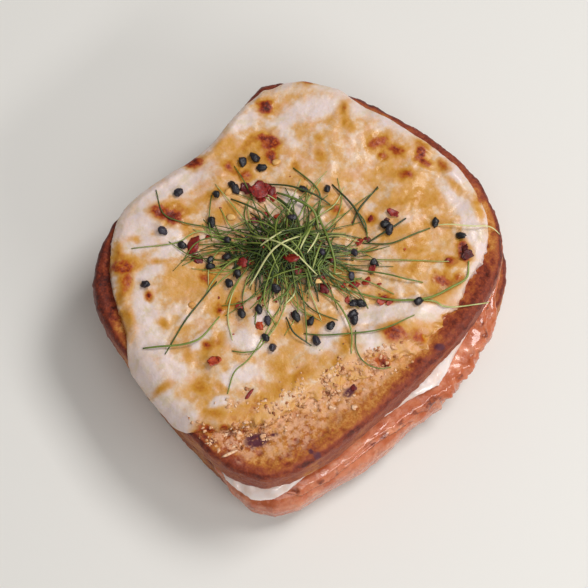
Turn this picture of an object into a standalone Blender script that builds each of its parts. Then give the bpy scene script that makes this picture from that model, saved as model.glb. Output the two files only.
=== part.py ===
"""A croque monsieur: two slices of a domed loaf with ham and white sauce between them, a grilled
cheese topping on the upper slice, and a nest of fine green shoots in the middle of the topping.

Metres, +Z up. The foot of the loaf faces -Y and its crown +Y. The lower slice stands on z = 0,
and the whole sandwich is centred on the Z axis.
"""

import math

import bmesh
import bpy
from mathutils import Vector, noise

MM = 0.001

# Bread
SLICE_THICKNESS = 13 * MM
SHOULDER = 2.4 * MM  # radius of the crust where a cut face turns into the side
SHOULDER_STEPS = 3
CRUMB_DIP = 0.5 * MM  # how far the toasted crumb has sunk below the crust around it
CRUST_WIDTH = 7 * MM  # from the side of the slice to where the crumb is at its lowest
LOWER_SLICE_SHIFT = Vector((2.4, 1.6)) * MM  # it sticks out at the right
UPPER_SLICE_SHIFT = Vector((0, 0)) * MM

# The loaf's outline in millimetres, clockwise from the left end of the crown.
LOAF_OUTLINE = (
    (-47.5, 38),
    (-31, 49.5),
    (-12, 56),
    (6, 59),
    (22, 57),
    (35, 50),
    (43.5, 39.5),
    (47.5, 20),
    (48, -3),
    (45.5, -28),
    (40, -48.5),
    (28, -56.5),
    (0, -56),
    (-30, -50),
    (-44.5, -39),
    (-50, -20),
    (-46, 9),
    (-48, 26),
)
CURVE_STEPS = 12  # points on the smooth outline between two of those
TURN_STEPS = 60  # facets round every slice and layer

# Filling and topping
GAP = 0.3 * MM  # clearance between any two layers
HAM_THICKNESS = 1.6 * MM
SAUCE_THICKNESS = 2.6 * MM
TOPPING_THICKNESS = 2.8 * MM
TOPPING_SWELL = 0.7 * MM  # rise and fall of the topping's lumps
RIM_RADIUS = 0.7 * MM

# How far each layer runs past the crust of the slice that it lies on, in millimetres along the
# slice's surface: what it does at rest, then what is added over each stretch from one direction to
# another, in degrees anticlockwise from +X. A negative run stops short of the crust.
LOWER_HAM_EDGE = (-2, ((-68, 32, 8.5), (-52, -20, 1), (85, 110, 1.2), (165, 200, 1)))
UPPER_HAM_EDGE = (-2.8, ((-56, 30, 3.6), (90, 125, 1.6), (180, 220, 1)))
SAUCE_EDGE = (-3.5, ((-76, -50, 2.8), (-6, 18, 2.2)))
TOPPING_EDGE = (
    -1.3,
    ((-68, -36, -15), (-36, -6, -10.3), (-6, 48, -6.8), (48, 142, -2.1), (216, 248, -4)),
)
STRETCH_EASE = 24  # degrees over which a stretch begins or ends

# Past the crust a layer stands off what is below it.
TOPPING_STAND_OFF = 1.0 * MM
SAUCE_BULGE = 0.9 * MM
CRIMP = 1.6 * MM  # height of the waves in the ham's edge
LOWER_CRIMPS = 11  # waves round the whole edge
UPPER_CRIMPS = 8

# Every layer has rings of points at these distances past the crust, so that layers on one another
# bend over the shoulder along the same lines. Where a layer stops short they crowd together.
CONTOURS = tuple(past * MM for past in (-3.4, -2.0, -0.8, 0.6, 2.2))
CROWDING = 0.3 * MM
HANG_WIDTH = 5 * MM  # from the second contour to where a layer hangs clear of the crust
TOPPING_INNER_RINGS = (0, 0.16, 0.32, 0.48, 0.64, 0.8, 0.92)  # shares of the way to it

# Shoots
NEST_HEIGHT = 10 * MM
NEST_RADIUS = 16 * MM
NEST_UNEVENNESS = 0.4
NEST_TUFTS = 1.8  # bumps over the nest's radius
NEST_PLACE = Vector((-4, 2)) * MM

BREAD_COLOUR = (0.62, 0.36, 0.14, 1)
TOAST_COLOUR = (0.50, 0.24, 0.08, 1)
HAM_COLOUR = (0.80, 0.42, 0.34, 1)
SAUCE_COLOUR = (0.86, 0.79, 0.66, 1)
TOPPING_COLOUR = (0.86, 0.66, 0.36, 1)
SHOOT_COLOUR = (0.16, 0.27, 0.06, 1)


def remove_old_objects():
    for old in list(bpy.data.objects):
        bpy.data.objects.remove(old, do_unlink=True)


def material(name, colour, roughness):
    """A Principled material of one colour."""
    made = bpy.data.materials.new(name)
    made.use_nodes = True
    made.diffuse_color = colour
    shader = made.node_tree.nodes["Principled BSDF"]
    shader.inputs["Base Color"].default_value = colour
    shader.inputs["Roughness"].default_value = roughness
    shader.inputs["Metallic"].default_value = 0
    return made


def smooth_outline(points):
    """A closed Catmull-Rom curve through points in millimetres, as a list of Vectors in metres."""
    through = [Vector(point) * MM for point in points]
    curve = []
    for i in range(len(through)):
        before, start, end, after = (through[(i + k) % len(through)] for k in (-1, 0, 1, 2))
        for step in range(CURVE_STEPS):
            t = step / CURVE_STEPS
            slope = (end - before) * t
            bend = (2 * before - 5 * start + 4 * end - after) * t**2
            twist = (3 * start - before - 3 * end + after) * t**3
            curve.append((2 * start + slope + bend + twist) / 2)
    return curve


# The outline again, as (direction, distance from the middle) pairs that go round more than once.
REACHES = sorted((math.atan2(p.y, p.x), p.length) for p in smooth_outline(LOAF_OUTLINE))
REACHES = (
    [(REACHES[-1][0] - math.tau, REACHES[-1][1])]
    + REACHES
    + [(REACHES[0][0] + math.tau, REACHES[0][1])]
)


def loaf_reach(angle):
    """Distance from the middle of a slice to its crust, for an angle between -pi and pi."""
    for before, after in zip(REACHES, REACHES[1:]):
        if before[0] <= angle <= after[0]:
            share = (angle - before[0]) / (after[0] - before[0])
            return before[1] + share * (after[1] - before[1])
    raise ValueError(f"no reach at {angle}")


def edge_run(edge, angle):
    """How far a layer runs past the crust in that direction."""
    run, stretches = edge
    for start, end, added in stretches:
        from_middle = abs((math.degrees(angle) - (start + end) / 2 + 180) % 360 - 180)
        share = ((end - start) / 2 - from_middle) / STRETCH_EASE + 0.5
        share = min(1, max(0, share))
        run += added * share * share * (3 - 2 * share)
    return run * MM


def over_shoulder(run, lift):
    """(distance past the crust, height over the flat top) of a point that is lift off the surface of
    a slice, and run along that surface from where the crust's corner would be."""
    start = run + SHOULDER
    radius = SHOULDER + lift
    bend = math.pi / 2 * SHOULDER
    if start <= 0:
        return run, lift
    if start <= bend:
        angle = start / SHOULDER
        return radius * math.sin(angle) - SHOULDER, radius * math.cos(angle) - SHOULDER
    return lift, bend - start - SHOULDER


def finished_object(name, shape, finish):
    """Makes an object of the shape, smooth where it is round, with one material."""
    mesh = bpy.data.meshes.new(name)
    shape.to_mesh(mesh)
    shape.free()
    mesh.shade_smooth()
    mesh.set_sharp_from_angle(angle=math.radians(40))
    mesh.materials.append(finish)
    made = bpy.data.objects.new(name, mesh)
    sandwich.objects.link(made)
    return made


def moulded_disc(name, profile, place, finish):
    """Turns a profile of (ring, level) pairs, from the middle of the upper face to the middle of the
    lower one, into a disc, and then moves each of its points to place(ring, angle, level)."""
    shape = bmesh.new()
    corners = [shape.verts.new((ring, 0, level)) for ring, level in profile]
    sides = [shape.edges.new(pair) for pair in zip(corners, corners[1:])]
    bmesh.ops.spin(
        shape,
        geom=corners + sides,
        cent=(0, 0, 0),
        axis=(0, 0, 1),
        angle=math.tau,
        steps=TURN_STEPS,
        use_merge=True,
    )
    bmesh.ops.remove_doubles(shape, verts=shape.verts, dist=0.0001)
    bmesh.ops.recalc_face_normals(shape, faces=shape.faces)
    for v in shape.verts:
        ring = round(math.hypot(v.co.x, v.co.y), 3)
        v.co = place(ring, math.atan2(v.co.y, v.co.x), round(v.co.z, 3))
    return finished_object(name, shape, finish)


def slice_of_bread(name, finish, floor, shift):
    """A slice cut from the loaf: rounded crust all round, and a crumb that dips a little inside it."""
    rings = [(1, 0), (CRUST_WIDTH, CRUMB_DIP), ((CRUST_WIDTH + SHOULDER) / 2, CRUMB_DIP / 4)]
    for step in range(SHOULDER_STEPS + 1):
        angle = math.pi / 2 * step / SHOULDER_STEPS
        rings.append((SHOULDER * (1 - math.sin(angle)), SHOULDER * (1 - math.cos(angle))))
    inner_rings = 3
    upper = [(ring, 1) for ring in range(len(rings))]
    lower = [(ring, 0) for ring in range(inner_rings, len(rings))]

    def place(ring, angle, level):
        inset, drop = rings[round(ring)]
        reach = loaf_reach(angle) - inset
        if ring == 0:
            reach = 0
            drop = CRUMB_DIP if level else 0
        height = SLICE_THICKNESS - drop if level else drop
        across = Vector((math.cos(angle), math.sin(angle))) * reach + shift
        return Vector((across.x, across.y, floor + height))

    return moulded_disc(name, upper + lower[::-1] + [(0, 0)], place, finish)


def layer_reach(ring, crust, run):
    """Distance from the middle of the slice to a ring of a layer, measured over its surface. Rings up
    to 1 are shares of the way to the first contour, ring 2 is the next contour, and so on."""
    flat_end = len(CONTOURS) + 1
    if ring > flat_end:
        return crust + run
    if ring == flat_end:
        return crust + run - RIM_RADIUS
    contour = max(1, round(ring))
    inside_rim = run - RIM_RADIUS - CROWDING * (flat_end - contour)
    return (crust + min(CONTOURS[contour - 1], inside_rim)) * min(ring, 1)


def layer(name, finish, base, shift, edge, lift, thickness, inner_rings=(0,), swell=None):
    """A layer that lies on a slice and follows it over the crust.

    base is the height of that slice's flat top, lift(angle, past) the space below the layer at a
    distance past the crust, and swell(x, y) what is added to the height of its upper face."""
    rim = len(CONTOURS) + 2
    outer_rings = list(range(1, rim))
    upper = [(ring, 1) for ring in [*inner_rings, *outer_rings]]
    lower = [(ring, 0) for ring in [0, *outer_rings]]

    def place(ring, angle, level):
        crust = loaf_reach(angle)
        reach = layer_reach(ring, crust, edge_run(edge, angle))
        direction = Vector((math.cos(angle), math.sin(angle)))
        rise = level * thickness
        if swell:
            rise += level * swell(*(direction * reach))
        past, height = over_shoulder(reach - crust, lift(angle, reach - crust) + rise)
        across = direction * (crust + past) + shift
        return Vector((across.x, across.y, base + height))

    return moulded_disc(name, upper + [(rim, 0.5)] + lower[::-1], place, finish)


def off_crust(past):
    """0 on the flat of a slice, easing to 1 where a layer hangs clear of the crust."""
    return min(1, max(0, (past - CONTOURS[1]) / HANG_WIDTH))


def lower_ham_lift(angle, past):
    wave = (2 + math.sin(LOWER_CRIMPS * angle)) / 3
    return GAP + CRIMP * wave * off_crust(past)


def upper_ham_lift(angle, past):
    wave = (3 + math.sin(UPPER_CRIMPS * angle + 1)) / 5
    return lower_ham_lift(angle, past) + HAM_THICKNESS + GAP + CRIMP * wave * off_crust(past)


def sauce_lift(angle, past):
    return upper_ham_lift(angle, past) + HAM_THICKNESS + GAP + SAUCE_BULGE * off_crust(past)


def topping_lift(_angle, past):
    return GAP + TOPPING_STAND_OFF * off_crust(past)


def topping_swell(x, y):
    """Soft lumps in the melted cheese."""
    across = math.sin(x / (6.1 * MM) + 1.3 * math.sin(y / (9.0 * MM)))
    along = math.sin(y / (5.2 * MM) + 1.1 * math.sin(x / (7.5 * MM)) + 0.8)
    return TOPPING_SWELL * across * along


def nest(name, finish, base):
    """The tangle of shoots, as one mound with an uneven outline and a flat underside."""
    shape = bmesh.new()
    bmesh.ops.create_icosphere(shape, subdivisions=4, radius=1)
    for v in shape.verts:
        uneven = 1 + NEST_UNEVENNESS * noise.noise(v.co * NEST_TUFTS)
        v.co.x = NEST_PLACE.x + v.co.x * NEST_RADIUS * uneven
        v.co.y = NEST_PLACE.y + v.co.y * NEST_RADIUS * uneven
        v.co.z = base + max(0, v.co.z) * NEST_HEIGHT * uneven
    return finished_object(name, shape, finish)


def centre_over_origin(pieces):
    """Moves the pieces so that the box round them all is centred on the Z axis."""
    corners = [piece.matrix_world @ v.co for piece in pieces for v in piece.data.vertices]
    for axis in (0, 1):
        low = min(corner[axis] for corner in corners)
        high = max(corner[axis] for corner in corners)
        for piece in pieces:
            piece.location[axis] -= (low + high) / 2


remove_old_objects()
sandwich = bpy.data.collections.new("croque_monsieur")
bpy.context.scene.collection.children.link(sandwich)

bread = material("bread", BREAD_COLOUR, 0.8)
toast = material("toast", TOAST_COLOUR, 0.75)
ham = material("ham", HAM_COLOUR, 0.4)
sauce = material("sauce", SAUCE_COLOUR, 0.35)
topping = material("topping", TOPPING_COLOUR, 0.45)
shoots = material("shoots", SHOOT_COLOUR, 0.5)

lower_slice = slice_of_bread("bread_lower", bread, 0, LOWER_SLICE_SHIFT)

filling_base = SLICE_THICKNESS
lower_ham = layer(
    "ham_lower",
    ham,
    filling_base,
    LOWER_SLICE_SHIFT,
    LOWER_HAM_EDGE,
    lower_ham_lift,
    HAM_THICKNESS,
)
upper_ham = layer(
    "ham_upper",
    ham,
    filling_base,
    LOWER_SLICE_SHIFT,
    UPPER_HAM_EDGE,
    upper_ham_lift,
    HAM_THICKNESS,
)
sauce_layer = layer(
    "sauce",
    sauce,
    filling_base,
    LOWER_SLICE_SHIFT,
    SAUCE_EDGE,
    sauce_lift,
    SAUCE_THICKNESS,
)

upper_floor = filling_base + 4 * GAP + 2 * HAM_THICKNESS + SAUCE_THICKNESS
upper_slice = slice_of_bread("bread_upper", toast, upper_floor, UPPER_SLICE_SHIFT)

topping_base = upper_floor + SLICE_THICKNESS
cheese = layer(
    "cheese_topping",
    topping,
    topping_base,
    UPPER_SLICE_SHIFT,
    TOPPING_EDGE,
    topping_lift,
    TOPPING_THICKNESS,
    TOPPING_INNER_RINGS,
    topping_swell,
)
nest_base = topping_base + GAP + TOPPING_THICKNESS + TOPPING_SWELL + GAP
shoot_nest = nest("shoot_nest", shoots, nest_base)

centre_over_origin(
    [lower_slice, lower_ham, upper_ham, sauce_layer, upper_slice, cheese, shoot_nest]
)
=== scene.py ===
"""The looks of a croque monsieur: toasted loaf slices, ham, white sauce, grilled cheese, onion
shoots and a scatter of seeds and chilli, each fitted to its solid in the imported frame."""

import math
import random

import bmesh
import bpy
import numpy as np
from mathutils import Euler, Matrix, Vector, noise
from mathutils.bvhtree import BVHTree


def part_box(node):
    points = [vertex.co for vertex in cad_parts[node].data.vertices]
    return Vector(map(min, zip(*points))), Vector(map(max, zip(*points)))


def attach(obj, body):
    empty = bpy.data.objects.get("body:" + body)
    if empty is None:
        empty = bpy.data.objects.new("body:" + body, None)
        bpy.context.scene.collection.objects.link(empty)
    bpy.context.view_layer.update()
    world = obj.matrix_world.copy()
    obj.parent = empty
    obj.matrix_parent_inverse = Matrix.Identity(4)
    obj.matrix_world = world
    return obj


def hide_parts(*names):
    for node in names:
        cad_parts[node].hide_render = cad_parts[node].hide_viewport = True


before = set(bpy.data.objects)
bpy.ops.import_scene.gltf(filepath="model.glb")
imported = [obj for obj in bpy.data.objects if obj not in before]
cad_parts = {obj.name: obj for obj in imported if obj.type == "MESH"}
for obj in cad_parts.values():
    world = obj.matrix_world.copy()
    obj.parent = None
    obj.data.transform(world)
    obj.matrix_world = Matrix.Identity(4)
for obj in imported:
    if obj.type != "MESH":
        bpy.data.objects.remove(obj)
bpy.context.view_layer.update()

# ------------------------------------------------------------
# The lower slice of bread: a slice of tin loaf with a domed crown, toasted on its cut faces. It
# is soft crumb inside a thin baked crust, and the sandwich stands on it.
# ------------------------------------------------------------
MM = 0.001
LOWER_GRAIN = 0.6 * MM  # size of the mesh's facets
LOWER_UNSEEN = 14 * MM  # further in from the edge, the ham hides the top face
CRUST_DEPTH = 2.7 * MM  # how far the baked colour reaches in over a cut face
PORE_SPACING = 1.9 * MM
PORE_WIDTH = 0.7  # the widest pore's radius, as a share of their spacing
# Depths of the relief, in millimetres.
PORE_DEPTH = 0.5
CRUMB_UNEVENNESS = 0.34
CRUST_WRINKLES = 0.3
CRUST_GRIT = 0.16
SLICE_WARP = 0.7


def fleshed_out(node, name, grain, smoothing):
    """A fine, even mesh in the shape of one solid of the frame."""
    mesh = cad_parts[node].data.copy()
    shape = bmesh.new()
    shape.from_mesh(mesh)
    bmesh.ops.remove_doubles(shape, verts=shape.verts, dist=0.02 * MM)
    shape.to_mesh(mesh)
    shape.free()
    piece = bpy.data.objects.new(name, mesh)
    bpy.context.scene.collection.objects.link(piece)
    remesh = piece.modifiers.new("grain", "REMESH")
    remesh.mode = "VOXEL"
    remesh.voxel_size = grain
    smooth = piece.modifiers.new("smooth", "SMOOTH")
    smooth.iterations = smoothing
    bpy.context.view_layer.update()
    evaluated = piece.evaluated_get(bpy.context.evaluated_depsgraph_get())
    fine = bpy.data.meshes.new_from_object(evaluated)
    piece.modifiers.clear()
    piece.data = fine
    fine.materials.clear()
    fine.shade_smooth()
    return piece


def points_of(piece, kind="co"):
    """The place of each point of a piece, or another vector that it has."""
    vectors = np.empty(len(piece.data.vertices) * 3)
    piece.data.vertices.foreach_get(kind, vectors)
    return vectors.reshape(-1, 3)


def normals_of(piece):
    return points_of(piece, "normal")


def set_points(piece, points):
    piece.data.vertices.foreach_set("co", points.ravel())
    piece.data.update()


def paint(piece, name, values):
    """Stores one number for each point, for the material to read."""
    layer = piece.data.attributes.new(name, "FLOAT", "POINT")
    layer.data.foreach_set("value", np.clip(values, 0, 1).astype(np.float32))


def ease(values, low, high):
    """0 up to low, 1 from high, and a soft step between."""
    share = np.clip((values - low) / (high - low), 0, 1)
    return share * share * (3 - 2 * share)


def shift_for(seed):
    """How far to move before reading noise, so that each seed has a pattern of its own."""
    return Vector((seed * 3.7, seed * 1.9, seed * 5.3))


def lumps(points, size, seed=0, octaves=3):
    """Uneven values round 0, one for each point, in lumps about size across."""
    shift = shift_for(seed)
    return np.array([noise.fractal(Vector(p) / size + shift, 1, 2, octaves) for p in points.tolist()])


def pits(points, spacing, widest, seed=0):
    """1 at the bottom of a round pit and 0 outside, for pits of many widths."""
    shift = shift_for(seed)
    depths = []
    for p in points.tolist():
        distances, centres = noise.voronoi(Vector(p) / spacing + shift)
        radius = widest * noise.cell(centres[0] * 7)
        depths.append(max(0, 1 - (distances[0] / max(radius, 0.05)) ** 2))
    return np.array(depths)


def round_the_loaf(points, middle):
    """For each point its direction from the middle, and how far it is in from the crust."""
    across = points[:, :2] - np.array(middle)[:2]
    angle = np.arctan2(across[:, 1], across[:, 0])
    distance = np.hypot(across[:, 0], across[:, 1])
    slots = 180
    slot = ((angle + math.pi) / math.tau * slots).astype(int) % slots
    reach = np.zeros(slots)
    np.maximum.at(reach, slot, distance)
    places = (np.arange(slots) + 0.5) / slots * math.tau - math.pi
    crust = np.interp(angle, places, reach, period=math.tau)
    return angle, crust - distance


def outward(angle, rise=0.0):
    """The direction away from the middle at each point's angle, with a rise."""
    return np.column_stack((np.cos(angle), np.sin(angle), np.full(len(angle), rise)))


def box_middle(node):
    low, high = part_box(node)
    return (low + high) / 2


def hollow_out(piece, middle, top_depth, under_depth):
    """Replaces the flat parts that nothing shows, far in from the edge, with single faces."""
    _, inset = round_the_loaf(points_of(piece), middle)
    shape = bmesh.new()
    shape.from_mesh(piece.data)
    shape.verts.ensure_lookup_table()
    hidden = []
    for face in shape.faces:
        depth = top_depth if face.normal.z > 0 else under_depth
        if depth and all(inset[v.index] > depth for v in face.verts):
            hidden.append(face)
    bmesh.ops.delete(shape, geom=hidden, context="FACES")
    rims = [edge for edge in shape.edges if edge.is_boundary]
    bmesh.ops.edgeloop_fill(shape, edges=rims)
    shape.to_mesh(piece.data)
    shape.free()


def sliced_bread(node, name, seed, facet, top_depth, under_depth):
    """One slice with its crumb's pores and its wrinkled crust, and how far each part has baked."""
    piece = fleshed_out(node, name, facet, 10)
    middle = box_middle(node)
    hollow_out(piece, middle, top_depth, under_depth)
    points = points_of(piece)
    normals = normals_of(piece)
    angle, inset = round_the_loaf(points, middle)
    side = ease(1 - np.abs(normals[:, 2]), 0.25, 0.7)
    wander = lumps(points, 8 * MM, seed) * 1.8 * MM
    crust = np.maximum(side, 1 - ease(inset + wander, 0.4 * CRUST_DEPTH, 1.5 * CRUST_DEPTH))
    pores = pits(points, PORE_SPACING, PORE_WIDTH, seed)
    crumb_push = -PORE_DEPTH * pores + CRUMB_UNEVENNESS * lumps(points, 2.2 * MM, seed + 1)
    crust_push = CRUST_WRINKLES * lumps(points, 3.5 * MM, seed + 2)
    crust_push += CRUST_GRIT * lumps(points, 1.3 * MM, seed + 3)
    warp = SLICE_WARP * lumps(points, 22 * MM, seed + 4)
    push = ((1 - crust) * crumb_push + crust * crust_push + warp) * MM
    set_points(piece, points + normals * push[:, None])
    # How far each part has cooked: more towards the crust, and most along its corners.
    toasting = 0.42 + 0.14 * (1 - ease(inset, 2 * MM, 10 * MM)) + 0.2 * lumps(points, 9 * MM, seed + 5)
    steepness = 1 - normals[:, 2]
    corner = ease(steepness, 0, 0.2) * (1 - ease(steepness, 0.5, 0.95))
    baking = 0.57 + 0.27 * corner + 0.12 * lumps(points, 6 * MM, seed + 6)
    heat = toasting * (1 - crust) + baking * crust + 0.3 * pores * (1 - crust)
    paint(piece, "crust", crust)
    return piece, points, heat


def colour(red, green, blue):
    """A colour from its display values, 0 to 255."""
    linear = [((c / 255 + 0.055) / 1.055) ** 2.4 for c in (red, green, blue)]
    return (*linear, 1)


def add_node(tree, kind, values, **settings):
    """Adds a node. values gives numbers, colours or other nodes' outputs for its sockets."""
    made = tree.nodes.new(kind)
    for name, value in settings.items():
        setattr(made, name, value)
    for socket, value in values.items():
        if isinstance(value, bpy.types.NodeSocket):
            tree.links.new(value, made.inputs[socket])
        else:
            made.inputs[socket].default_value = value
    return made


def mixed(tree, share, first, second):
    """A blend of two colours."""
    made = add_node(tree, "ShaderNodeMix", {0: share, 6: first, 7: second}, data_type="RGBA")
    return made.outputs[2]


def maths(tree, operation, first, second):
    made = add_node(tree, "ShaderNodeMath", {0: first, 1: second}, operation=operation)
    return made.outputs[0]


def times(tree, first, second):
    return maths(tree, "MULTIPLY", first, second)


def plus(tree, first, second):
    return maths(tree, "ADD", first, second)


def between(tree, value, low, high):
    """value from low to high, as 0 to 1."""
    made = add_node(tree, "ShaderNodeMapRange", {"Value": value, "From Min": low, "From Max": high})
    return made.outputs["Result"]


def ramp(tree, share, stops):
    """A colour that runs through (place, colour) stops."""
    made = add_node(tree, "ShaderNodeValToRGB", {"Fac": share})
    elements = made.color_ramp.elements
    while len(elements) < len(stops):
        elements.new(0.5)
    for i, (place, shade) in enumerate(stops):
        elements[i].position = place
        elements[i].color = shade
    return made.outputs["Color"]


def mask(tree, name):
    """A number painted on the mesh."""
    return add_node(tree, "ShaderNodeAttribute", {}, attribute_name=name).outputs["Fac"]


def new_group(name, inputs, outputs):
    """An empty node group with its sockets, and its input and output nodes."""
    group = bpy.data.node_groups.new(name, "ShaderNodeTree")
    for label, kind, start in inputs:
        socket = group.interface.new_socket(label, in_out="INPUT", socket_type=kind)
        socket.default_value = start
    for label, kind in outputs:
        group.interface.new_socket(label, in_out="OUTPUT", socket_type=kind)
    return group, group.nodes.new("NodeGroupInput"), group.nodes.new("NodeGroupOutput")


def mottle_group():
    """Soft blotches with a fine break-up: what heat does to any baked or melted surface."""
    group, given, result = new_group(
        "mottle",
        [("Size", "NodeSocketFloat", 0.004), ("Low", "NodeSocketFloat", 0.4),
         ("High", "NodeSocketFloat", 0.6), ("Seed", "NodeSocketFloat", 0)],
        [("Mask", "NodeSocketFloat")],
    )
    place = add_node(group, "ShaderNodeTexCoord", {}).outputs["Object"]
    scale = maths(group, "DIVIDE", 1.0, given.outputs["Size"])
    blotches = add_node(
        group,
        "ShaderNodeTexNoise",
        {"Vector": place, "W": given.outputs["Seed"], "Scale": scale, "Detail": 6, "Roughness": 0.6},
        noise_dimensions="4D",
    )
    spread = add_node(
        group,
        "ShaderNodeMapRange",
        {
            "Value": blotches.outputs["Fac"],
            "From Min": given.outputs["Low"],
            "From Max": given.outputs["High"],
        },
        interpolation_type="SMOOTHSTEP",
    )
    group.links.new(spread.outputs["Result"], result.inputs["Mask"])
    return group


def grain_group():
    """A fine uneven surface, as a normal."""
    group, given, result = new_group(
        "grain",
        [("Size", "NodeSocketFloat", 0.001), ("Depth", "NodeSocketFloat", 0.0002),
         ("Strength", "NodeSocketFloat", 0.5)],
        [("Normal", "NodeSocketVector")],
    )
    place = add_node(group, "ShaderNodeTexCoord", {}).outputs["Object"]
    scale = maths(group, "DIVIDE", 1.0, given.outputs["Size"])
    rough = add_node(
        group, "ShaderNodeTexNoise", {"Vector": place, "Scale": scale, "Detail": 5, "Roughness": 0.62}
    )
    bump = add_node(
        group,
        "ShaderNodeBump",
        {
            "Strength": given.outputs["Strength"],
            "Distance": given.outputs["Depth"],
            "Height": rough.outputs["Fac"],
        },
    )
    group.links.new(bump.outputs["Normal"], result.inputs["Normal"])
    return group


def flecked_group():
    """Breaks up a painted heat with flecks at three sizes, more strongly where it is hot."""
    group, given, result = new_group(
        "flecked",
        [("Heat", "NodeSocketFloat", 0.5), ("Size", "NodeSocketFloat", 0.001),
         ("Amount", "NodeSocketFloat", 0.2), ("Hot Amount", "NodeSocketFloat", 0.5)],
        [("Heat", "NodeSocketFloat")],
    )
    place = add_node(group, "ShaderNodeTexCoord", {}).outputs["Object"]
    total = 0.0
    for wider, share in ((1, 0.5), (0.4, 0.3), (3.2, 0.4)):
        scale = maths(group, "DIVIDE", 1 / wider, given.outputs["Size"])
        flecks = add_node(
            group, "ShaderNodeTexNoise", {"Vector": place, "Scale": scale, "Detail": 3, "Roughness": 0.7}
        )
        off_middle = plus(group, flecks.outputs["Fac"], -0.5)
        total = plus(group, total, times(group, off_middle, share * 2))
    hot = between(group, given.outputs["Heat"], 0.6, 0.95)
    amount = plus(group, given.outputs["Amount"], times(group, hot, given.outputs["Hot Amount"]))
    heat = plus(group, given.outputs["Heat"], times(group, total, amount))
    group.links.new(heat, result.inputs["Heat"])
    return group


mottle = mottle_group()
grain = grain_group()
flecked = flecked_group()


def use_group(tree, group, *values):
    """The output of a shared group, with values for its sockets in their order."""
    made = add_node(tree, "ShaderNodeGroup", dict(enumerate(values)), node_tree=group)
    return made.outputs[0]


def patchy(tree, name, size, low, high, seed):
    """A painted mask broken up into blotches of about a size."""
    return times(tree, mask(tree, name), use_group(tree, mottle, size, low, high, seed))


def new_material(name):
    """A material, its node tree and its Principled shader."""
    made = bpy.data.materials.new(name)
    made.use_nodes = True
    return made, made.node_tree, made.node_tree.nodes["Principled BSDF"]


def set_shader(tree, shader, values):
    for socket, value in values.items():
        if isinstance(value, bpy.types.NodeSocket):
            tree.links.new(value, shader.inputs[socket])
        else:
            shader.inputs[socket].default_value = value


BAKED_BREAD = [
    (0.0, colour(238, 206, 180)), (0.2, colour(228, 178, 138)), (0.36, colour(208, 148, 84)),
    (0.5, colour(184, 114, 44)), (0.62, colour(160, 80, 34)), (0.75, colour(136, 54, 28)),
    (0.88, colour(96, 34, 20)), (1.0, colour(58, 22, 20)),
]
CHEESE_POWDER = colour(224, 172, 138)
SCORCHED = colour(88, 38, 50)


def toasted_bread():
    """Crumb toasted gold to brown, inside a crust baked red-brown and faintly shiny."""
    made, tree, shader = new_material("toasted bread")
    unevenness = plus(tree, 0.5, times(tree, mask(tree, "crust"), -0.18))
    heat = use_group(tree, flecked, mask(tree, "cooked"), 1.3 * MM, unevenness, 0.1)
    dust = times(tree, patchy(tree, "dusted", 1.6 * MM, 0.42, 0.56, 5.0), 0.75)
    surface = mixed(tree, dust, ramp(tree, heat, BAKED_BREAD), CHEESE_POWDER)
    surface = mixed(tree, patchy(tree, "scorch", 1.6 * MM, 0.3, 0.5, 2.0), surface, SCORCHED)
    dull = plus(tree, 0.72, times(tree, mask(tree, "crust"), -0.28))
    set_shader(
        tree,
        shader,
        {
            "Base Color": surface,
            "Roughness": dull,
            "Specular IOR Level": 0.3,
            "Normal": use_group(tree, grain, 0.7 * MM, 0.35 * MM, 0.9),
        },
    )
    return made


def dress(piece, material, node):
    """Gives the piece its material and its place in the frame."""
    piece.data.materials.append(material)
    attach(piece, "root")
    if node:
        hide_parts(node)


toast = toasted_bread()
lower_slice, _, lower_heat = sliced_bread(
    "bread_lower", "lower_slice", 3, LOWER_GRAIN, LOWER_UNSEEN, None
)
paint(lower_slice, "cooked", lower_heat)
# No crumb or crust reaches below the plane that the sandwich stands on.
resting = points_of(lower_slice)
resting[:, 2] = np.maximum(resting[:, 2], 0)
set_points(lower_slice, resting)
dress(lower_slice, toast, "bread_lower")

# ------------------------------------------------------------
# The ham: two thin slices of cooked ham laid on the lower slice of bread. They hang out at the
# right and at the foot, with frilled edges that the grill has browned.
# ------------------------------------------------------------
HAM_GRAIN = 0.42 * MM
HAM_SHOWING = 13 * MM  # nothing further in from the edge can be seen
EDGE_LENGTH = 50 * MM  # scales an angle to the way round the edge, for the pleats
PLEAT_WIDTH = 3.4 * MM
WAVE_WIDTH = 11 * MM
HAM_STEP = 2.4 * MM
HAM_THICKNESS = 0.9 * MM
HAM_GAP = 0.1 * MM  # between two slices where they touch


def surface_tree(*pieces):
    """What things lie on: the pieces' faces in one search tree."""
    shape = bmesh.new()
    for piece in pieces:
        shape.from_mesh(piece.data)
    tree = BVHTree.FromBMesh(shape)
    shape.free()
    return tree


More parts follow.
